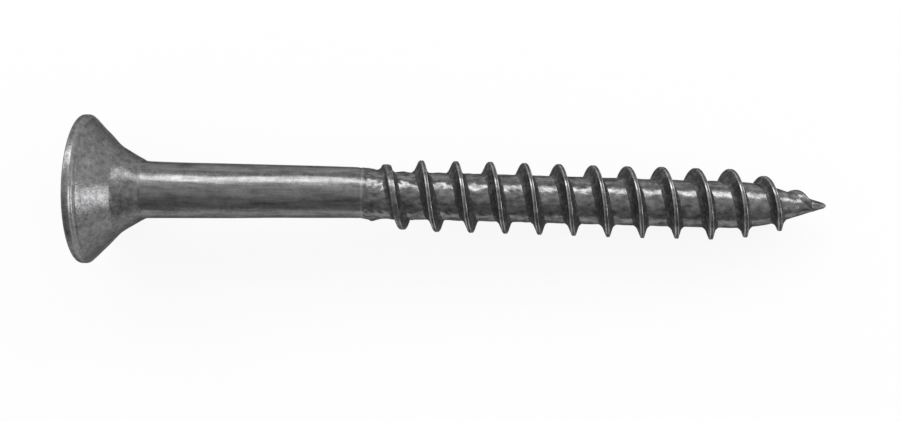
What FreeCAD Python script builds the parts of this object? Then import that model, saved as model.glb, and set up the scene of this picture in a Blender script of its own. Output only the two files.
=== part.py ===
"""A countersunk, part-threaded wood screw, lying along +X.

The screw is cut at its natural edges into the regions that a screw maker names: head, neck, shank,
thread core, thread and point. They meet face to face. The origin is the centre of the head's flat
face, the point is at x = screw_length and +Z is up.
"""

import FreeCAD, Part
import math
import os

import Sketcher

# Driving sizes, in millimetres and degrees. "angle" is the full angle of a cone.
SIZES = [
    # the whole screw
    ("screw_length", 50),
    ("head_diameter", 10),
    ("shank_diameter", 3.82),
    ("shank_end_diameter", 3.42),
    ("thread_diameter", 4.85),
    ("core_diameter", 3.2),
    # head and neck
    ("rim_land", 0.42),
    ("rim_rounding", 0.12),
    ("countersink_angle", 90),
    ("neck_diameter", 5.84),
    ("neck_angle", 61),
    # cross recess
    ("recess_diameter", 5.2),
    ("recess_depth", 2.7),
    ("wing_width", 1.15),
    ("wing_draft", 3),
    ("wing_slope", 26.5),
    ("pit_diameter", 2.5),
    ("pit_draft", 7),
    ("pit_bottom_angle", 118),
    ("tick_length", 1.15),
    ("tick_width", 0.16),
    ("tick_depth", 0.12),
    # end of the plain shank
    ("plain_length", 18.9),
    ("core_taper", 2.0),
    # point
    ("point_length", 7.5),
    ("point_diameter", 3.15),
    ("point_angle", 34),
    ("point_blend", 12.5),
    ("tip_diameter", 0.34),
    ("tip_rounding", 0.1),
    # thread
    ("thread_pitch", 2.303),
    ("crest_width", 0.26),
    ("head_flank", 23),
    ("point_flank", 21),
    ("rise_angle", 12),
    ("lead_length", 6.64),
    ("lead_angle", 10.4),
    ("nose_gap", 0.35),
    ("nose_angle", 64),
    ("trim_margin", 0.3),
    ("splice", 0.1),
]

doc = FreeCAD.newDocument("wood_screw")
sheet = doc.addObject("Spreadsheet::Sheet", "Sizes")
for row, (alias, value) in enumerate(SIZES, start=1):
    sheet.set(f"A{row}", alias)
    sheet.set(f"B{row}", str(value))
    sheet.setAlias(f"B{row}", alias)
doc.recompute()


def origin_part(body, role):
    """The plane or axis of a body's own origin that has this role."""
    return next(part for part in body.Origin.OriginFeatures if part.Role == role)


def new_body(label):
    body = doc.addObject("PartDesign::Body", label)
    body.Label = label
    return body


def bind(thing, path, formula):
    """Tie one property to a formula of the sheet's sizes, where $name is the size called name."""
    thing.setExpression(path, formula.replace("$", "Sizes."))


def outline(body, name, plane, corners):
    """A closed sketch of straight lines whose corners are given as pairs of formulas.

    The corners start on a rough ring, and their bound distances from the origin then place them.
    """
    sketch = body.newObject("Sketcher::SketchObject", name)
    sketch.AttachmentSupport = [(origin_part(body, plane), "")]
    sketch.MapMode = "FlatFace"
    count = len(corners)
    ring = []
    for i in range(count):
        angle = 2 * math.pi * i / count
        ring.append(FreeCAD.Vector(5 + 4 * math.cos(angle), 5 + 4 * math.sin(angle), 0))
    for i in range(count):
        sketch.addGeometry(Part.LineSegment(ring[i], ring[(i + 1) % count]))
    for i in range(count):
        sketch.addConstraint(Sketcher.Constraint("Coincident", i, 2, (i + 1) % count, 1))
    for i, corner in enumerate(corners):
        for kind, start, formula in zip(("DistanceX", "DistanceY"), (ring[i].x, ring[i].y), corner):
            place = sketch.addConstraint(Sketcher.Constraint(kind, -1, 1, i, 1, start))
            bind(sketch, f"Constraints[{place}]", formula)
    return sketch


def roll(sketch, turn):
    """Turn a sketch in the XY plane about the screw's axis by the angle that a formula gives."""
    sketch.AttachmentOffset = FreeCAD.Placement(
        FreeCAD.Vector(), FreeCAD.Rotation(FreeCAD.Vector(1, 0, 0), 1)
    )
    bind(sketch, "AttachmentOffset.Rotation.Angle", turn)


def revolve(body, kind, name, corners, turn="0"):
    """Turn an outline all the way round the screw's axis, from the half-plane at the angle turn."""
    sketch = outline(body, f"{name}_outline", "XY_Plane", corners)
    roll(sketch, turn)
    turned = body.newObject(kind, name)
    turned.Profile = sketch
    turned.ReferenceAxis = (origin_part(body, "X_Axis"), [""])
    turned.Angle = 360
    return turned


def round_edges(body, name, radius, belongs):
    """Fillet the round edges of the body's last feature that belongs() picks by centre and radius."""
    doc.recompute()
    base = body.Tip
    picked = [
        f"Edge{i}"
        for i, edge in enumerate(base.Shape.Edges, start=1)
        if isinstance(edge.Curve, Part.Circle) and belongs(edge.Curve.Center.x, edge.Curve.Radius)
    ]
    fillet = body.newObject("PartDesign::Fillet", name)
    fillet.Base = (base, picked)
    bind(fillet, "Radius", radius)
    return fillet


def near(value, target):
    return abs(value - target) < 1e-4


# ---- places along the screw and radii that several regions share ----
LAND_END = "$rim_land"
NECK_START = f"{LAND_END} + ($head_diameter - $neck_diameter) / 2 / tan($countersink_angle / 2)"
NECK_END = f"{NECK_START} + ($neck_diameter - $shank_diameter) / 2 / tan($neck_angle / 2)"
TAPER_END = "$plain_length + $core_taper"
POINT_START = "$screw_length - $point_length"
LEAD_START = "$screw_length - $lead_length"
LEAD_REACH = "($lead_length - 2 * $nose_gap)"
LEAD_TURN = f"360 * {LEAD_REACH} / $thread_pitch"
# the point's seam stays clear of the ridge's last turn, where the two surfaces run close together
POINT_SEAM = f"{LEAD_TURN} + 250"
CORNER_TO_TIP = "($point_diameter - $tip_diameter) / 2 / tan($point_angle / 2)"


def cut_recess(body):
    """Sink the cross recess: four sloping wings round a tapered pit.

    Where it is deeper than the head it goes on into the neck, so both are cut with it.
    """

    def cross(name, radius, half_width):
        wing = [(radius, f"-({half_width})"), (radius, half_width), (half_width, half_width)]
        corners = []
        for _ in range(4):
            corners += wing
            wing = [(f"-({up})", side) for side, up in wing]
        return outline(body, name, "YZ_Plane", corners)

    mouth = cross("recess_mouth", "$recess_diameter / 2", "$wing_width / 2")
    floor = cross(
        "recess_floor",
        "$recess_diameter / 2 - $recess_depth * tan($wing_slope)",
        "$wing_width / 2 - $recess_depth * tan($wing_draft)",
    )
    bind(floor, "AttachmentOffset.Base.z", "$recess_depth")
    wings = body.newObject("PartDesign::SubtractiveLoft", "recess_wings")
    wings.Profile = mouth
    wings.Sections = [(floor, [""])]
    wings.Ruled = True

    pit_floor_radius = "$pit_diameter / 2 - $recess_depth * tan($pit_draft)"
    pit = revolve(
        body,
        "PartDesign::Groove",
        "recess_pit",
        [
            ("0", "0"),
            (f"$recess_depth + ({pit_floor_radius}) / tan($pit_bottom_angle / 2)", "0"),
            ("$recess_depth", pit_floor_radius),
            ("0", "$pit_diameter / 2"),
        ],
    )
    return [wings, pit]


# ---- head: flat face, narrow rim land and countersink ----
head = new_body("head")
revolve(
    head,
    "PartDesign::Revolution",
    "head_blank",
    [
        ("0", "0"),
        (NECK_START, "0"),
        (NECK_START, "$neck_diameter / 2"),
        (LAND_END, "$head_diameter / 2"),
        ("0", "$head_diameter / 2"),
    ],
)
round_edges(
    head, "rim_edges", "$rim_rounding", lambda x, radius: near(radius, sheet.head_diameter / 2)
)
cuts = cut_recess(head)

tick = outline(
    head,
    "tick_outline",
    "YZ_Plane",
    [
        ("$pit_diameter / 4", "-$tick_width / 2"),
        ("$pit_diameter / 2 + $tick_length", "-$tick_width / 2"),
        ("$pit_diameter / 2 + $tick_length", "$tick_width / 2"),
        ("$pit_diameter / 4", "$tick_width / 2"),
    ],
)
tick.AttachmentOffset = FreeCAD.Placement(FreeCAD.Vector(), FreeCAD.Rotation(FreeCAD.Vector(0, 0, 1), 45))
tick_cut = head.newObject("PartDesign::Pocket", "tick")
tick_cut.Profile = tick
tick_cut.Reversed = True
bind(tick_cut, "Length", "$tick_depth")
ticks = head.newObject("PartDesign::PolarPattern", "ticks")
ticks.Originals = [tick_cut]
ticks.Axis = (origin_part(head, "X_Axis"), [""])
ticks.Angle = 360
ticks.Occurrences = 4
head.Tip = ticks
cuts += [tick_cut, ticks]

# ---- neck: the slimmer cone between countersink and shank, with the bottom of the recess in it ----
neck = new_body("neck")
neck_blank = revolve(
    neck,
    "PartDesign::Revolution",
    "neck_blank",
    [
        (NECK_START, "0"),
        (NECK_END, "0"),
        (NECK_END, "$shank_diameter / 2"),
        (NECK_START, "$neck_diameter / 2"),
    ],
)
neck_cuts = cut_recess(neck)

# ---- shank: the plain round wire, a little slimmer towards the thread ----
shank = new_body("shank")
revolve(
    shank,
    "PartDesign::Revolution",
    "shank_blank",
    [
        (NECK_END, "0"),
        ("$plain_length", "0"),
        ("$plain_length", "$shank_end_diameter / 2"),
        (NECK_END, "$shank_diameter / 2"),
    ],
)

# ---- thread core: the wire as the rolls left it between the thread's turns ----
thread_core = new_body("thread_core")
revolve(
    thread_core,
    "PartDesign::Revolution",
    "core_blank",
    [
        ("$plain_length", "0"),
        (POINT_START, "0"),
        (POINT_START, "$point_diameter / 2"),
        (TAPER_END, "$core_diameter / 2"),
        ("$plain_length", "$shank_end_diameter / 2"),
    ],
)

# ---- point: core diameter, a long soft bend, a cone and a small blunt end ----
point = new_body("point")
revolve(
    point,
    "PartDesign::Revolution",
    "point_blank",
    [
        (POINT_START, "0"),
        ("$screw_length", "0"),
        ("$screw_length", "$tip_diameter / 2"),
        (f"$screw_length - {CORNER_TO_TIP}", "$point_diameter / 2"),
        (POINT_START, "$point_diameter / 2"),
    ],
    POINT_SEAM,
)
round_edges(
    point,
    "point_bend",
    "$point_blend",
    lambda x, radius: near(radius, sheet.point_diameter / 2)
    and x > sheet.screw_length - sheet.point_length + 1e-4,
)
round_edges(
    point, "tip_edge", "$tip_rounding", lambda x, radius: near(radius, sheet.tip_diameter / 2)
)

# ---- thread: one right-hand ridge wound in two stretches, trimmed to its envelope and to the core ----
ridge = new_body("ridge")
CREST_RADIUS = "$thread_diameter / 2"
FOOT_RADIUS = "$lead_length * tan($lead_angle)"
FLANK_HEIGHT = f"({CREST_RADIUS} - {FOOT_RADIUS})"


def wind_ridge(name, start, sink, turn, reach, angle):
    """Wind the ridge's outline round the axis from start towards the head, over the length reach.

    The outline lies on the +Y side, turned about the axis by the angle turn, and sink nearer to the
    axis than the full thread. The angle widens the winding on its way.
    """
    foot = f"{FOOT_RADIUS} - {sink}"
    crest = f"{CREST_RADIUS} - {sink}"
    section = outline(
        ridge,
        f"{name}_outline",
        "XY_Plane",
        [
            (f"{start} - $crest_width / 2 - {FLANK_HEIGHT} * tan($head_flank)", foot),
            (f"{start} + $crest_width / 2 + {FLANK_HEIGHT} * tan($point_flank)", foot),
            (f"{start} + $crest_width / 2", crest),
            (f"{start} - $crest_width / 2", crest),
        ],
    )
    roll(section, turn)
    winding = ridge.newObject("PartDesign::AdditiveHelix", name)
    winding.Profile = section
    winding.ReferenceAxis = (origin_part(ridge, "X_Axis"), [""])
    winding.Mode = "pitch-height-angle"
    winding.LeftHanded = False
    winding.Reversed = True
    bind(winding, "Pitch", "$thread_pitch")
    bind(winding, "Height", reach)
    bind(winding, "Angle", angle)


wind_ridge(
    "even_thread",
    f"{LEAD_START} + $splice",
    "0",
    "360 * $splice / $thread_pitch",
    f"{LEAD_START} + $splice - $plain_length + $thread_pitch / 2",
    "0",
)
wind_ridge(
    "tapered_thread",
    f"{LEAD_START} + {LEAD_REACH}",
    f"{LEAD_REACH} * tan($lead_angle)",
    LEAD_TURN,
    LEAD_REACH,
    "$lead_angle",
)

envelope = new_body("envelope")
TRIM_RADIUS = f"({CREST_RADIUS} + $trim_margin)"
revolve(
    envelope,
    "PartDesign::Revolution",
    "envelope_blank",
    [
        ("$plain_length", "0"),
        ("$screw_length - $nose_gap", "0"),
        (f"$screw_length - $nose_gap - {TRIM_RADIUS} / tan($nose_angle / 2)", TRIM_RADIUS),
        (f"$plain_length + ({TRIM_RADIUS} - $shank_end_diameter / 2) / tan($rise_angle)", TRIM_RADIUS),
        ("$plain_length", "$shank_end_diameter / 2"),
    ],
)


def combine(kind, name, base, tool):
    """One boolean of two solids, with its seams left in so that the wound faces stay whole."""
    result = doc.addObject(kind, name)
    result.Label = name
    result.Base = base
    result.Tool = tool
    result.Refine = False
    return result


trimmed_ridge = combine("Part::Common", "trimmed_ridge", ridge, envelope)
ridge_on_core = combine("Part::Cut", "ridge_on_core", trimmed_ridge, thread_core)
thread = combine("Part::Cut", "thread", ridge_on_core, point)

doc.recompute()

# ---- checks, then one file per region ----
REGIONS = [head, neck, shank, thread_core, thread, point]
for thing in doc.Objects:
    if {"Invalid", "Error"} & set(thing.State):
        raise RuntimeError(f"{thing.Name} did not recompute: {thing.State}")
if sheet.recess_depth > neck_blank.Shape.BoundBox.XMin:
    cuts += neck_cuts
for cut in cuts:
    if not cut.Shape.Volume < cut.BaseFeature.Shape.Volume - 1e-6:
        raise RuntimeError(f"{cut.Name} removes nothing")
for cut in (trimmed_ridge, ridge_on_core, thread):
    if not 0 < cut.Shape.Volume < cut.Base.Shape.Volume - 1e-6:
        raise RuntimeError(f"{cut.Label} removes nothing")
for region in REGIONS:
    if region.Shape.isNull() or not region.Shape.isValid() or len(region.Shape.Solids) != 1:
        raise RuntimeError(f"{region.Label} is not one valid solid")

os.makedirs("parts", exist_ok=True)
for region in REGIONS:
    region.Shape.exportStep(f"parts/{region.Label}.step")
    print(f"{region.Label}: {region.Shape.Volume:.2f} mm3")
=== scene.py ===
"""A countersunk wood screw lying on a pale floor, seen from straight above.

Every shape is worked out in millimetres as arrays of rings and turned to metres when its mesh is made.
x runs along the screw from the head's face to the point, and phi is the angle about x from +Y to +Z.
"""

import math

import bpy
import numpy as np
from mathutils import Matrix, Vector


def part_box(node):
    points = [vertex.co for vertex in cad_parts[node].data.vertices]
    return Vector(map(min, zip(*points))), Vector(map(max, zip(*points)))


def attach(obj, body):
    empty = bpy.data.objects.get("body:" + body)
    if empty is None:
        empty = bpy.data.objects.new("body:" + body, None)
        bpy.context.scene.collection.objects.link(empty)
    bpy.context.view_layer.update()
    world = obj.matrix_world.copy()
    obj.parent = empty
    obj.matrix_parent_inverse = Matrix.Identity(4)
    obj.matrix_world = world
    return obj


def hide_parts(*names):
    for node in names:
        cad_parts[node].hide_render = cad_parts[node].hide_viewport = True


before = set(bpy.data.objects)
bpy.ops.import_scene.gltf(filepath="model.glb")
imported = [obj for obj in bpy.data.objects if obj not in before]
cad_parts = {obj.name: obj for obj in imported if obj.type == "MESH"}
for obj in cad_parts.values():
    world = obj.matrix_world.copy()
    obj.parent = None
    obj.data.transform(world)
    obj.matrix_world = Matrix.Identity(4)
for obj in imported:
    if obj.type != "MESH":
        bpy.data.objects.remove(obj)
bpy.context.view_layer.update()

MM = 0.001
TURN = 2 * math.pi


def place_of(node):
    """Lowest and highest corners of a CAD node, in millimetres."""
    low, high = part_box(node)
    return np.array(low) / MM, np.array(high) / MM


head_high = place_of("head")[1]
neck_high = place_of("neck")[1]
shank_high = place_of("shank")[1]
core_high = place_of("thread_core")[1]
thread_high = place_of("thread")[1]
point_low, point_high = place_of("point")

# ---- sizes, from the frame where it holds them ----
HEAD_RADIUS = head_high[1]
HEAD_END = head_high[0]
NECK_RADIUS = neck_high[1]
NECK_END = neck_high[0]
SHANK_RADIUS = shank_high[1]
SHANK_END = shank_high[0]
SHANK_END_RADIUS = core_high[1]
CREST_RADIUS = thread_high[1]
POINT_START = point_low[0]
POINT_RADIUS = point_high[1]
LENGTH = point_high[0]
TIP_END = LENGTH - 0.12

RIM_LAND = 0.42
RIM_ROUNDING = 0.14
CORE_TAPER = 2.0
CORE_RADIUS = 1.6
POINT_SLOPE = math.tan(math.radians(17))
POINT_BEND = 12.5
TIP_RADIUS = 0.14
TIP_LENGTH = 0.2

RECESS_REACH = 2.6
RECESS_DEPTH = 2.7
WING_SLOPE = math.tan(math.radians(26.5))
WING_HALF = 0.575
WING_DRAFT = math.tan(math.radians(3))
PIT_RADIUS = 1.25
PIT_DRAFT = math.tan(math.radians(7))
PIT_BOTTOM = 0.5
TICK_HALF = 0.08
TICK_DEPTH = 0.1
TICK_REACH = 2.35
MOUTH_ROUNDING = 0.06
SCRIBED_LINE = 0.62

CAP_RADIUS = 0.5
LIP_ZONE = 0.6

PITCH = 2.303
LEAD_START = LENGTH - 6.64
LEAD_SLOPE = math.tan(math.radians(10.4))
RISE_SLOPE = math.tan(math.radians(12))
NOSE_GAP = 0.35
NOSE_SLOPE = math.tan(math.radians(32))
RIDGE_END = LENGTH - 1.3
STEPS_PER_TURN = 112
CREST_WAVE = 0.012
CREST_TO_HEAD = 0.13
CREST_TO_POINT = 0.09
CREST_LIMIT = 0.3
HEAD_FLANK = math.tan(math.radians(23))
POINT_FLANK = math.tan(math.radians(16))
ROOT_FILLET = 0.16


# ---- meshes ----
def skin(name, rings, rub_and_painted_light):
    """A closed mesh through rings of points, each ring closed on itself and both ends closed by a pole.

    rings is (ring, point on the ring, x y z) in millimetres. The third argument is a number from 0 to 1
    for each point, kept as a point attribute, that makes the steel lighter and smoother there: partly
    real rubbing, partly painted shade (low in the recess, on thread flanks and between the turns) and
    painted highlight (high on edges, the scribed line and the crest lips).
    """
    count, corners = rings.shape[:2]
    poles = rings[[0, -1]].mean(axis=1)
    points = np.concatenate([rings.reshape(-1, 3), poles]) * MM
    rub_and_painted_light = np.concatenate([rub_and_painted_light.ravel(), rub_and_painted_light[[0, -1]].mean(axis=1)])

    index = np.arange(count * corners).reshape(count, corners)
    after = np.roll(index, -1, axis=1)
    quads = np.stack([index[:-1], index[1:], after[1:], after[:-1]], axis=-1).reshape(-1, 4)
    first, last = count * corners, count * corners + 1
    start = np.stack([np.full(corners, first), index[0], after[0]], axis=-1)
    end = np.stack([np.full(corners, last), after[-1], index[-1]], axis=-1)

    # a negative volume means that the faces look inwards, so all are turned over
    triangles = np.concatenate([start, quads[:, [0, 1, 2]], quads[:, [0, 2, 3]], end])
    a, b, c = (points[triangles[:, corner]] for corner in range(3))
    if np.einsum("ij,ij->i", a, np.cross(b, c)).sum() < 0:
        quads, start, end = quads[:, ::-1], start[:, ::-1], end[:, ::-1]

    mesh = bpy.data.meshes.new(name)
    mesh.from_pydata(points.tolist(), [], start.tolist() + quads.tolist() + end.tolist())
    mesh.attributes.new("rub_and_painted_light", "FLOAT", "POINT").data.foreach_set("value", rub_and_painted_light.astype(np.float32))
    mesh.shade_smooth()
    mesh.set_sharp_from_angle(angle=math.radians(50))
    piece = bpy.data.objects.new(name, mesh)
    bpy.context.scene.collection.objects.link(piece)
    return piece


def around(count):
    """Evenly spaced angles about the screw, starting at +Y."""
    return np.arange(count) * TURN / count


def ease(u):
    """From 0 to 1 as u goes from 0 to 1, level at both ends: 3u^2 - 2u^3."""
    u = np.clip(u, 0, 1)
    return u * u * (3 - 2 * u)


def lean(x):
    """How far the wire's middle lies off the straight axis towards +Y: a bow of under 0.2 mm."""
    bow = 0.05 * ease((x - 1) / 4) + 0.12 * ease((x - 6) / 12)
    return bow - 0.14 * ease((x - 18) / 3) - 0.10 * ease((x - 24) / 20) + 0.06 * ease((x - 45) / 5)


def turned(x, radius, phi):
    """Points at the distance x along the screw, the given radius and the angle phi."""
    across = lean(x) + radius * np.cos(phi)
    return np.stack(np.broadcast_arrays(x, across, radius * np.sin(phi)), axis=-1)


def cap(x, phi):
    """A small ring at x, between a piece's end and its pole, that closes the end flat."""
    return turned(np.full((1, 1), x), np.full((1, 1), CAP_RADIUS), phi)


def ripple(x, phi, seed, length, lobes, waves=24):
    """Smooth unevenness, about 1 high: a sum of waves whose length along x is at least length.

    Each wave goes a whole number of times round the screw, up to lobes, so the sum closes on itself.
    """
    draw = np.random.default_rng(seed)
    total = 0
    for _ in range(waves):
        pace = TURN / length * draw.uniform(0.15, 1)
        turns = draw.integers(0, lobes + 1) * draw.choice((-1, 1))
        total = total + np.cos(pace * x + turns * phi + draw.uniform(0, TURN))
    return total / math.sqrt(waves / 2)


def fold(x, phi, radius, spot, size, depth):
    """A dent: a bell-shaped hollow at spot = (x, phi), size = (along x, round the screw) across."""
    across = radius * ((phi - spot[1] + math.pi) % TURN - math.pi)
    return -depth * np.exp(-(((x - spot[0]) / size[0]) ** 2) - (across / size[1]) ** 2)


def soft_max(a, b, rounding):
    """The larger of two values, with a soft bend where they cross."""
    return (a + b + np.sqrt((a - b) ** 2 + rounding**2)) / 2


def soft_min(a, b, rounding):
    """The smaller of two values, with a soft bend where they cross."""
    return (a + b - np.sqrt((a - b) ** 2 + rounding**2)) / 2


def rounded_corners(corners, radii, steps=8):
    """A line through corners, with each inner corner turned into an arc of its own radius.

    Between a corner's two tangent points the line follows a quadratic curve, which is close to the
    arc for the small turns here.
    """
    corners = np.array(corners, float)
    line = [corners[0]]
    for before, corner, after, radius in zip(corners[:-2], corners[1:-1], corners[2:], radii):
        back = (before - corner) / np.linalg.norm(before - corner)
        ahead = (after - corner) / np.linalg.norm(after - corner)
        half_turn = (math.pi - math.acos(np.clip(back @ ahead, -1, 1))) / 2
        reach = radius * math.tan(half_turn)
        start, end = corner + back * reach, corner + ahead * reach
        for u in np.linspace(0, 1, steps):
            line.append((1 - u) ** 2 * start + 2 * u * (1 - u) * corner + u**2 * end)
    line.append(corners[-1])
    return np.array(line)


def refined(line, spacing):
    """The same line with points no further apart than spacing."""
    parts = [
        np.linspace(a, b, max(int(math.ceil(np.linalg.norm(b - a) / spacing)), 1), endpoint=False)
        for a, b in zip(line[:-1], line[1:])
    ]
    return np.concatenate(parts + [line[-1:]])


def body_radius(x):
    """Countersink, neck and shank in turn, whichever is widest at x, with soft bends between them."""
    head_cone = NECK_RADIUS + (HEAD_END - x) * (HEAD_RADIUS - NECK_RADIUS) / (HEAD_END - RIM_LAND)
    neck_cone = NECK_RADIUS - (x - HEAD_END) * (NECK_RADIUS - SHANK_RADIUS) / (NECK_END - HEAD_END)
    wire = SHANK_RADIUS + (x - NECK_END) * (SHANK_END_RADIUS - SHANK_RADIUS) / (SHANK_END - NECK_END)
    return soft_max(soft_max(head_cone, neck_cone, 0.05), wire, 0.07)


# ---- head ----
def recess_outline(phi, depth):
    """The recess's radius at a depth: four straight wings and a round pit, whichever reaches further."""
    reach = RECESS_REACH - depth * WING_SLOPE
    half = WING_HALF - depth * WING_DRAFT
    cos, sin = np.abs(np.cos(phi)) + 1e-6, np.abs(np.sin(phi)) + 1e-6
    level = soft_min(reach / cos, half / sin, 0.12)
    upright = soft_min(reach / sin, half / cos, 0.12)
    pit = PIT_RADIUS - depth * PIT_DRAFT
    return soft_max(soft_max(level, upright, 0.1), pit, 0.08)


def make_head():
    """From the bottom of the recess up its walls, over the face and rim, and down the countersink.

    Each ring is either an outline of the recess at one depth, or a step from its mouth to the rim, or
    a circle of the outer profile. The last rings close the head inside the neck.
    """
    phi = around(480)
    xs, radii, rub_and_painted_light = [], [], []

    def ring(x, radius, local_rub_and_painted_light):
        xs.append(np.broadcast_to(x, phi.shape))
        radii.append(np.broadcast_to(radius, phi.shape))
        rub_and_painted_light.append(np.broadcast_to(local_rub_and_painted_light, phi.shape))

    floor = recess_outline(phi, RECESS_DEPTH)
    pit = PIT_RADIUS - RECESS_DEPTH * PIT_DRAFT
    # the recess floor and walls take low values, a painted shade inside the recess; the rounded mouth takes
    # a high one, partly rubbing and partly a painted highlight
    for u in np.linspace(0.02, 1, 10):
        ring(RECESS_DEPTH + PIT_BOTTOM * (1 - u), pit * 0.98 * u, 0.1)
    for u in np.linspace(0, 1, 5)[1:]:
        ring(RECESS_DEPTH, pit * 0.98 * (1 - u) + (floor - 0.05) * u, 0.1)
    for depth in np.linspace(RECESS_DEPTH - 0.04, 0.07, 22):
        ring(depth, recess_outline(phi, depth), 0.25)
    mouth = recess_outline(phi, 0)
    for u in np.linspace(0, 1, 5):
        angle = u * math.pi / 2
        lip_radius = mouth + MOUTH_ROUNDING * (1 - math.cos(angle))
        ring(MOUTH_ROUNDING * (1 - math.sin(angle)), lip_radius, 0.9)
    edge = HEAD_RADIUS - RIM_ROUNDING
    for u in np.linspace(0, 1, 34)[1:]:
        radius = mouth + MOUTH_ROUNDING + (edge - mouth - MOUTH_ROUNDING) * u
        off_line = radius * np.sin(phi % (TURN / 4) - TURN / 8)
        in_reach = 1 / (1 + np.exp((radius - TICK_REACH) / 0.03))
        groove = TICK_DEPTH * in_reach * np.exp(-((off_line / TICK_HALF) ** 4))
        flat = 0.008 * np.maximum(1 + ripple(radius, phi, 3, 1.2, 9), 0) * math.sin(math.pi * u)
        ring(groove + flat, radius, 0.45)

    rim = rounded_corners([(0, edge), (0, HEAD_RADIUS), (RIM_LAND, HEAD_RADIUS)], [RIM_ROUNDING])
    cone_x = np.linspace(RIM_LAND + 0.03, HEAD_END, 46)
    cone = np.stack([cone_x, body_radius(cone_x)], axis=1)
    profile = refined(np.concatenate([rim[:-1], [(RIM_LAND - 0.05, HEAD_RADIUS)], cone]), 0.05)
    for x, radius in profile[1:]:
        on_cone = ease((x - RIM_LAND - 0.1) / 0.3)
        near_rim = math.exp(-(((x - RIM_LAND) / 0.12) ** 2)) + math.exp(-(((x - 0.05) / 0.08) ** 2))
        at_line = math.exp(-(((x - SCRIBED_LINE) / 0.045) ** 2))
        beside_line = math.exp(-(((x - SCRIBED_LINE - 0.11) / 0.05) ** 2))
        uneven = 0.010 * on_cone * ripple(np.full_like(phi, x), phi, 11, 0.9, 16)
        uneven = uneven + 0.008 * (1 - on_cone) * (ripple(np.full_like(phi, x), phi, 12, 2, 7) - 1.2)
        line_depth = 0.55 + 0.45 * np.clip(ripple(0 * phi, phi, 13, 1, 4), -1, 1)
        uneven = uneven + (0.018 * at_line - 0.024 * beside_line) * line_depth
        # near the rim's edges the surface is brighter, partly rubbing and partly a painted highlight; the
        # ridge at the scribed line is painted brighter and the groove beside it darker, a painted highlight
        # and painted shade over the real ridge and groove
        local_rub_and_painted_light = 0.35 + 0.4 * near_rim + (0.5 * at_line - 0.2 * beside_line) * line_depth
        ring(x, radius + uneven * ease((HEAD_END - x) / 0.2), local_rub_and_painted_light)
    for x, radius in ((HEAD_END, 2.3), (HEAD_END, 1.8), (HEAD_END + 0.7, 1.0), (HEAD_END + 1.4, 0.1)):
        ring(x, radius, 0.2)
    return skin("screw_head", turned(np.array(xs), np.array(radii), phi), np.array(rub_and_painted_light))


def make_neck():
    """The short cone under the countersink, with a soft bend into the shank."""
    phi = around(240)
    outer_x = np.linspace(HEAD_END, NECK_END, 50)
    outer = np.stack([outer_x, body_radius(outer_x)], axis=1)
    socket = np.array([(HEAD_END + 1.42, 0.08), (HEAD_END + 0.71, 1.0), (HEAD_END + 0.01, 1.82)])
    joint = np.array([(NECK_END, 1.0), (NECK_END, 0.1)])
    line = np.concatenate([socket, outer, joint])
    x, radius = line[:, :1], line[:, 1:]
    seam = ease((outer_x - HEAD_END) / 0.2) * ease((NECK_END - outer_x) / 0.2)
    uneven = np.zeros((len(line), phi.size))
    uneven[len(socket) : -len(joint)] = 0.008 * ripple(outer_x[:, None], phi, 21, 1.0, 12) * seam[:, None]
    rub_and_painted_light = np.broadcast_to(0.25, (len(line), phi.size))
    return skin("screw_neck", turned(x, radius + uneven, phi), rub_and_painted_light)


# ---- shank ----
def make_shank():
    """The drawn wire, with a faint lip where the thread rolls stopped.

    It is round to about a hundredth of a millimetre.
    """
    phi = around(240)
    plain = np.linspace(NECK_END, SHANK_END - LIP_ZONE, 150)
    near_lip = np.linspace(SHANK_END - LIP_ZONE + 0.01, SHANK_END, 40)
    x = np.concatenate([plain, near_lip])[:, None]
    at_lip = np.exp(-(((x - SHANK_END + 0.14) / 0.06) ** 2))
    lip = 0.014 * at_lip - 0.02 * np.exp(-(((x - SHANK_END + 0.3) / 0.1) ** 2))
    uneven = 0.005 * ripple(x, phi, 31, 5, 3) + 0.003 * ripple(x, phi, 32, 6, 30)
    seam = ease((x - NECK_END) / 0.4) * ease((SHANK_END - x) / 0.1)
    radius = body_radius(x) + uneven * seam + lip
    # brighter at the lip: partly rubbing, partly a painted highlight
    rub_and_painted_light = 0.35 + 0.3 * at_lip + 0 * phi
    rings = np.concatenate([cap(NECK_END, phi), turned(x, radius, phi), cap(SHANK_END, phi)])
    return skin("screw_shank", rings, np.concatenate([rub_and_painted_light[:1], rub_and_painted_light, rub_and_painted_light[-1:]]))


# ---- core and point ----
def core_radius(x):
    """The radius between the turns: a short taper from the shank, then nearly even to the point."""
    taper = ease((x - SHANK_END) / CORE_TAPER)
    slow = np.clip((x - SHANK_END - CORE_TAPER) / (POINT_START - SHANK_END - CORE_TAPER), 0, 1)
    return SHANK_END_RADIUS + (CORE_RADIUS - SHANK_END_RADIUS) * taper + (POINT_RADIUS - CORE_RADIUS) * slow


def point_radius(x):
    """The point: even, then a long arc that leaves it tangent, then a cone with a blunt oval end."""
    from_tip = np.maximum(TIP_END - x, 0)
    corner = TIP_END - (POINT_RADIUS - TIP_RADIUS) / POINT_SLOPE
    angle = math.atan(POINT_SLOPE)
    along = np.clip(x - corner + POINT_BEND * math.tan(angle / 2), 0, POINT_BEND * math.sin(angle))
    bent = POINT_RADIUS - POINT_BEND + np.sqrt(POINT_BEND**2 - along**2)
    cone = TIP_RADIUS + from_tip * POINT_SLOPE
    outer = np.where(along < POINT_BEND * math.sin(angle), bent, cone)
    oval = np.sqrt(np.clip(from_tip * (2 * TIP_LENGTH - from_tip), 0, None)) / TIP_LENGTH
    return outer * np.where(from_tip < TIP_LENGTH, oval, 1)


def root_radius(x):
    """Core or point, whichever holds at x."""
    at_core = core_radius(np.minimum(x, POINT_START))
    return np.where(x < POINT_START, at_core, point_radius(x) * at_core / point_radius(POINT_START))


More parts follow.
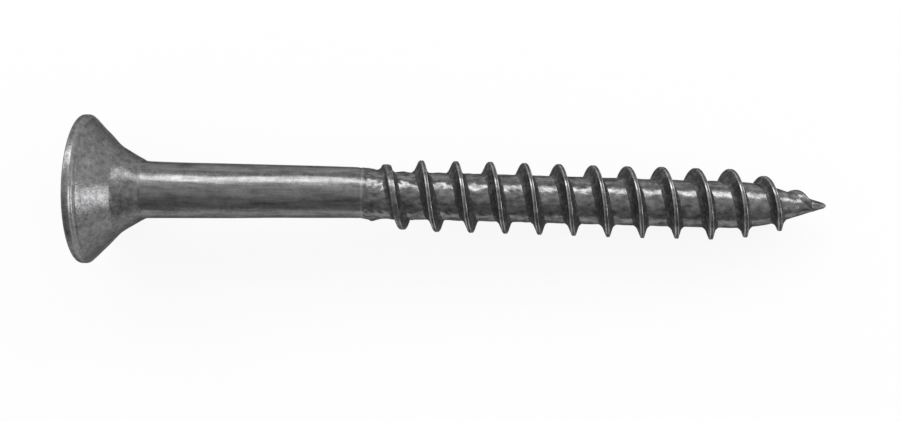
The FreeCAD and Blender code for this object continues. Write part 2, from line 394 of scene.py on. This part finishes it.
FOLDS = [
    # (x, phi), (along x, round the screw), depth
    ((20.6, 1.2), (0.28, 0.5), 0.05),
    ((21.6, 2.1), (0.20, 0.7), 0.05),
    ((22.1, 0.9), (0.15, 0.4), 0.04),
    ((23.9, 1.5), (0.25, 0.5), 0.03),
    ((19.6, 1.9), (0.16, 0.6), 0.04),
    ((24.3, 4.3), (0.22, 0.5), 0.04),
    ((21.0, 4.9), (0.20, 0.6), 0.05),
    # the burr where the ridge starts stands out instead
    ((19.35, math.pi), (0.28, 0.45), -0.13),
]


def make_core():
    """The wire between the turns, with ripples and folds that the rolls left near the shank."""
    phi = around(230)
    x = np.linspace(SHANK_END, POINT_START, 400)[:, None]
    near_shank = np.exp(-((x - SHANK_END) / 6))
    seam = ease((x - SHANK_END) / 0.2) * ease((POINT_START - x) / 0.2)
    uneven = (0.005 + 0.014 * near_shank) * ripple(x, phi, 41, 1.1, 9)
    uneven = uneven + (0.001 + 0.007 * near_shank) * ripple(x, phi, 42, 0.4, 24)
    for spot, size, depth in FOLDS:
        uneven = uneven + fold(x, phi, CORE_RADIUS, spot, size, depth)
    radius = core_radius(x) + uneven * seam
    rings = np.concatenate([cap(SHANK_END, phi), turned(x, radius, phi), cap(POINT_START, phi)])
    # the core between the turns takes a lower value than the shank: painted shade between the ridges
    rub_and_painted_light = 0.2 + 0 * rings[:, :, 0]
    return skin("thread_core_wire", rings, rub_and_painted_light)


def make_point():
    """The point, pinched a little on two sides where the blank was cut from its neighbour."""
    phi = around(180)
    cone_part = np.linspace(TIP_END - POINT_START, TIP_LENGTH, 140)
    oval_part = TIP_LENGTH * np.linspace(1, 0.02, 14)[1:] ** 2
    from_tip = np.concatenate([cone_part, oval_part])[:, None]
    x = TIP_END - from_tip
    pinch = np.exp(-(((from_tip - 0.3) / 0.7) ** 2))
    flats = 1 - 0.09 * pinch * np.cos(2 * (phi - 0.5)) + 0.04 * pinch * np.cos(5 * phi + 1)
    seam = ease((x - POINT_START) / 0.2) * np.clip(from_tip / 0.8, 0, 1)
    uneven = 0.007 * ripple(x, phi, 51, 0.9, 7) * seam
    radius = root_radius(x) * flats + uneven
    rings = np.concatenate([cap(POINT_START, phi), turned(x, radius, phi)])
    rub_and_painted_light = 0.25 - 0.1 * pinch + 0 * phi
    return skin("screw_point", rings, np.concatenate([rub_and_painted_light[:1], rub_and_painted_light]))


# ---- thread ----
def make_thread():
    """The ridge: one closed section carried along a right-hand helix.

    At each step the section stands on the local core. Its flanks rise from small fillets to a rounded
    crest: full height where the thread is full, lower and blunter where it rises out of the wire, and
    sinking away just before the tip. A fine groove runs along the crest between two lips, where the
    rolls pushed the metal up from both sides. The lips are painted brighter, partly as rubbing and
    partly as a painted highlight; the flanks and the groove are painted darker, a painted shade.
    """
    first = (SHANK_END + 0.05 - LEAD_START) / PITCH
    last = (RIDGE_END - LEAD_START) / PITCH
    steps = np.arange(first, last, 1 / STEPS_PER_TURN)
    phi = (steps * TURN)[:, None]
    x = (LEAD_START + steps * PITCH)[:, None]

    full = CREST_RADIUS - CREST_WAVE - LEAD_SLOPE * np.maximum(x - LEAD_START, 0)
    rise = SHANK_END_RADIUS + 0.05 + RISE_SLOPE * (x - SHANK_END)
    nose = NOSE_SLOPE * (LENGTH - NOSE_GAP - x)
    top = soft_min(soft_min(full, rise, 0.04), nose, 0.12)
    top = top + CREST_WAVE * ripple(x, 0 * phi, 61, 1.6, 0)
    root = root_radius(x)
    fade = ease((RIDGE_END - x) / 0.6) * ease((x - SHANK_END) / 0.7)
    height = np.maximum((top - root) * fade, 0) + 0.004
    missing = np.maximum(full - top, 0)
    blunt = ease(missing / 0.2)
    near_point = ease((x - LEAD_START) / 2)

    left_top = np.minimum(CREST_TO_HEAD + missing * HEAD_FLANK, CREST_LIMIT)
    right_top = np.minimum(CREST_TO_POINT + missing * POINT_FLANK, CREST_LIMIT)
    rounding = np.minimum(0.12 - 0.07 * blunt * (1 - near_point) + 0.2 * blunt * near_point, height * 0.6)
    fillet = np.minimum(ROOT_FILLET, height)

    u = np.linspace(0, 1, 10)[None, :-1]
    side_height = (height - rounding) * u
    foot_flare = fillet * (1 - np.clip(side_height / np.maximum(fillet * 1.6, 1e-6), 0, 1)) ** 2
    left = left_top + (height - side_height) * HEAD_FLANK + foot_flare
    right = right_top + (height - side_height) * POINT_FLANK + foot_flare

    turn = np.linspace(-1, 1, 19)[None, :] * math.pi / 2
    across = np.sin(turn)
    swell = np.where(turn < 0, left_top + rounding * HEAD_FLANK, right_top + rounding * POINT_FLANK)
    crest_height = height - rounding + rounding * np.cos(turn)
    depth = 0.03 * (1 + 0.4 * np.clip(ripple(x, 0 * phi, 62, 2.5, 0), -1, 1))
    groove = np.exp(-((across / 0.28) ** 2))
    lips = np.exp(-(((np.abs(across) - 0.6) / 0.15) ** 2))
    crest_height = crest_height + (0.008 * lips - depth * groove) * (1 - blunt)

    offset = np.concatenate([-left, across * swell, right[:, ::-1]], axis=1)
    over = np.concatenate([side_height, crest_height, side_height[:, ::-1]], axis=1)
    # along the ridge the lips are brighter (partly rubbing, partly painted highlight) and the groove and
    # flanks darker (painted shade)
    crest_rub_and_painted_light = 0.15 + (0.7 * lips - 0.15 * groove) * (1 - 0.8 * blunt)
    local_rub_and_painted_light = np.concatenate([0 * left, crest_rub_and_painted_light, 0 * right], axis=1)
    sunk = np.full((len(x), 2), -0.15)
    offset = np.concatenate([offset, right[:, :1] * 0.5, -left[:, :1] * 0.5], axis=1)
    over = np.concatenate([over, sunk], axis=1)
    local_rub_and_painted_light = np.concatenate([local_rub_and_painted_light, 0 * sunk], axis=1)

    # a foot stands a little under the surface of the core at its own place along the screw
    place = x + offset + 0.02
    share = np.clip(over / height, 0, 1)
    radius = root_radius(place) * (1 - share) + root * share + over - 0.015 * (1 - share)
    radius = np.maximum(radius, 0.02)
    return skin("screw_thread", turned(place, radius, phi + 0 * place), np.clip(local_rub_and_painted_light, 0, 1))


# ---- materials ----
def linear(code):
    """A hex colour such as 8a8a88, as a linear colour with alpha."""
    parts = [int(code[i : i + 2], 16) / 255 for i in (0, 2, 4)]
    return [p / 12.92 if p <= 0.04045 else ((p + 0.055) / 1.055) ** 2.4 for p in parts] + [1]


def add(tree, kind, settings=None, inputs=(), **links):
    """Add a node, give it its settings by property or input name, and link its inputs by name.

    inputs fills the sockets in order, each with a number or with another node's output.
    """
    node = tree.nodes.new(kind)
    for name, value in (settings or {}).items():
        if hasattr(node, name):
            setattr(node, name, value)
        else:
            node.inputs[name].default_value = value
    for socket, source in zip(node.inputs, inputs):
        if isinstance(source, bpy.types.NodeSocket):
            tree.links.new(source, socket)
        else:
            socket.default_value = source
    for name, source in links.items():
        tree.links.new(source, node.inputs[name.replace("_", " ")])
    return node


MOTTLE_MM = 0.6
LINE_MM = 0.3


def steel(name, dark, light, grain_mm, grain_height_mm, line_stretch, roughness):
    """Steel whose grain, drawing lines and rubbed edges are worked out from its own coordinates.

    Where the point attribute is high the steel takes the light colour and is smoother; that attribute
    holds real rubbing together with painted shade and painted highlight. The rest is mottled towards
    the dark one.
    """
    material = bpy.data.materials.new(name)
    material.use_nodes = True
    tree = material.node_tree
    shader = tree.nodes["Principled BSDF"]
    shader.inputs["Metallic"].default_value = 1
    shader.inputs["Specular Tint"].default_value = linear("9a9a9a")

    place = add(tree, "ShaderNodeTexCoord").outputs["Object"]
    # the point attribute: real rubbing together with painted shade in hollows and painted highlight on
    # edges and lips
    rub_and_painted_light_fac = add(tree, "ShaderNodeAttribute", {"attribute_name": "rub_and_painted_light"}).outputs["Fac"]

    coarse = {"Scale": 1 / (MOTTLE_MM * MM), "Detail": 6.0, "Roughness": 0.7}
    mottle = add(tree, "ShaderNodeTexNoise", coarse, Vector=place)
    grain = add(tree, "ShaderNodeTexNoise", {"Scale": 1 / (grain_mm * MM), "Detail": 3.0}, Vector=place)
    stretched = add(tree, "ShaderNodeMapping", {"Scale": (line_stretch, 1, 1)}, Vector=place)
    streaks = {"Scale": 1 / (LINE_MM * MM), "Detail": 4.0, "Roughness": 0.65}
    lines = add(tree, "ShaderNodeTexNoise", streaks, Vector=stretched.outputs["Vector"])

    multiply_add = {"operation": "MULTIPLY_ADD"}
    tone = add(tree, "ShaderNodeMath", multiply_add, (mottle.outputs["Fac"], 0.9, rub_and_painted_light_fac))
    streaked = add(tree, "ShaderNodeMath", multiply_add, (lines.outputs["Fac"], 1.4, tone.outputs["Value"]))
    # mottle and streaks add about 1.15 to the rubbing and painted light value, so the ramp takes 1.1 to 2.1
    # as dark to light
    span = {"From Min": 1.1, "From Max": 2.1}
    level = add(tree, "ShaderNodeMapRange", span, Value=streaked.outputs["Value"])
    shade = add(tree, "ShaderNodeValToRGB", Fac=level.outputs["Result"])
    shade.color_ramp.elements[0].position = 0.0
    shade.color_ramp.elements[0].color = linear(dark)
    shade.color_ramp.elements[1].position = 1.0
    shade.color_ramp.elements[1].color = linear(light)
    tree.links.new(shade.outputs["Color"], shader.inputs["Base Color"])

    smoother_where_rubbed = {"From Max": 0.2, "To Min": roughness * 2.8, "To Max": roughness}
    worn = add(tree, "ShaderNodeMapRange", smoother_where_rubbed, Value=rub_and_painted_light_fac)
    patchy = {"From Min": 0.3, "From Max": 0.7, "To Min": 0.85, "To Max": 1.2}
    gloss = add(tree, "ShaderNodeMapRange", patchy, Value=grain.outputs["Fac"])
    both = (worn.outputs["Result"], gloss.outputs["Result"])
    product = add(tree, "ShaderNodeMath", {"operation": "MULTIPLY"}, both)
    tree.links.new(product.outputs["Value"], shader.inputs["Roughness"])

    pits = {"Strength": 1.0, "Distance": grain_height_mm * MM}
    fine = add(tree, "ShaderNodeBump", pits, Height=grain.outputs["Fac"])
    scores = {"Strength": 1.0, "Distance": grain_height_mm * 0.7 * MM}
    drawn = add(tree, "ShaderNodeBump", scores, Height=lines.outputs["Fac"], Normal=fine.outputs["Normal"])
    tree.links.new(drawn.outputs["Normal"], shader.inputs["Normal"])
    return material


# Carbon steel upset cold in a die: satin, with the die's fine grain printed on it.
headed_steel = steel("cold_headed_steel", "5a5a5b", "8c8c8d", 0.16, 0.011, 1.0, 0.31)
# Carbon steel wire drawn through a die: smooth, semi-bright, with faint lines along it.
drawn_steel = steel("drawn_steel_wire", "525253", "989899", 0.25, 0.005, 0.12, 0.26)
# The same steel after thread rolling and tumbling: brighter; its crest lips are light partly from rubbing
# and partly as a painted highlight, and its flanks and core are painted darker as shade.
rolled_steel = steel("rolled_thread_steel", "505051", "a6a6a7", 0.22, 0.010, 0.5, 0.22)


def finish_piece(piece, material, node):
    piece.data.materials.append(material)
    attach(piece, "root")
    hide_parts(node)


finish_piece(make_head(), headed_steel, "head")
finish_piece(make_neck(), headed_steel, "neck")
finish_piece(make_shank(), drawn_steel, "shank")
finish_piece(make_core(), rolled_steel, "thread_core")
finish_piece(make_thread(), rolled_steel, "thread")
finish_piece(make_point(), rolled_steel, "point")


# ---- floor, light and camera ----
def make_floor():
    """A pale sheet that touches the head's rim and the last full turn of the thread."""
    last_turn = LEAD_START - PITCH / 4
    slope = (HEAD_RADIUS - CREST_RADIUS) / (last_turn - RIM_LAND)
    reach = 5000
    corners = []
    for x, y in ((-reach, -reach), (reach, -reach), (reach, reach), (-reach, reach)):
        corners.append((x * MM, y * MM, (slope * (x - RIM_LAND) - HEAD_RADIUS) * MM))
    mesh = bpy.data.meshes.new("floor")
    mesh.from_pydata(corners, [], [(0, 1, 2, 3)])
    floor = bpy.data.objects.new("floor", mesh)
    bpy.context.scene.collection.objects.link(floor)
    paper = bpy.data.materials.new("matt_white_card")
    paper.use_nodes = True
    shader = paper.node_tree.nodes["Principled BSDF"]
    shader.inputs["Base Color"].default_value = linear("4a4a4a")
    shader.inputs["Roughness"].default_value = 0.9
    shader.inputs["Emission Color"].default_value = linear("ffffff")
    shader.inputs["Emission Strength"].default_value = 0.895
    mesh.materials.append(paper)


def add_light(name, direction, distance, width, length, radiance):
    """A soft box aimed at the middle of the screw from a direction, its length along x or, end on, along y.

    Its power follows from how bright its face is, so that its size and its brightness stay apart.
    """
    light = bpy.data.lights.new(name, "AREA")
    light.shape = "RECTANGLE"
    light.size = length
    light.size_y = width
    light.energy = radiance * math.pi * width * length
    lamp = bpy.data.objects.new(name, light)
    bpy.context.scene.collection.objects.link(lamp)
    back = Vector(direction).normalized()
    level = Vector((1, 0, 0)) if abs(back.x) < 0.7 else Vector((0, 1, 0))
    level = (level - back * level.dot(back)).normalized()
    turn = Matrix((level, back.cross(level), back)).transposed().to_4x4()
    middle = Vector((LENGTH / 2 * MM, 0, 0))
    lamp.matrix_world = Matrix.Translation(middle + back * distance) @ turn


def make_light():
    world = bpy.data.worlds.new("studio")
    bpy.context.scene.world = world
    world.use_nodes = True
    tree = world.node_tree
    sky = tree.nodes["Background"]
    around_sky = add(tree, "ShaderNodeTexCoord").outputs["Generated"]
    across = add(tree, "ShaderNodeSeparateXYZ", Vector=around_sky)
    reach = add(tree, "ShaderNodeMapRange", {"From Min": -1.0, "From Max": 1.0}, Value=across.outputs["Y"])
    ramp = add(tree, "ShaderNodeValToRGB", Fac=reach.outputs["Result"])
    stops = ((0.0, 0.28), (0.18, 0.36), (0.5, 0.82), (0.75, 0.95), (1.0, 0.5))
    for _ in stops[2:]:
        ramp.color_ramp.elements.new(0.5)
    for stop, (where, level) in zip(ramp.color_ramp.elements, stops):
        stop.position = where
        stop.color = (level, level, level, 1)
    tree.links.new(ramp.outputs["Color"], sky.inputs["Color"])
    sky.inputs["Strength"].default_value = 1.0
    add_light("window", (0, 0.78, 0.63), 0.5, 0.2, 1.2, 4.1)
    add_light("end_window", (0.95, -0.18, 0.27), 0.5, 0.16, 0.16, 6.0)


def make_camera():
    """Straight above the screw, its picture turned a little so that the point hangs lower."""
    roll = math.radians(1.315)
    height = 82.0
    aside, along = 0.382, 0.886
    right = Vector((math.cos(roll), math.sin(roll), 0))
    up = Vector((-math.sin(roll), math.cos(roll), 0))
    centre = Vector((LENGTH / 2, 0, height)) - right * aside - up * along
    camera = bpy.data.objects.new("camera", bpy.data.cameras.new("camera"))
    bpy.context.scene.collection.objects.link(camera)
    camera.data.sensor_width = 36
    camera.data.lens = 48.8
    camera.data.clip_start = 0.001
    turn = Matrix((right, up, (0, 0, 1))).transposed().to_4x4()
    camera.matrix_world = Matrix.Translation(centre * MM) @ turn
    bpy.context.scene.camera = camera


make_floor()
make_light()
make_camera()
bpy.context.scene.view_settings.view_transform = "Standard"
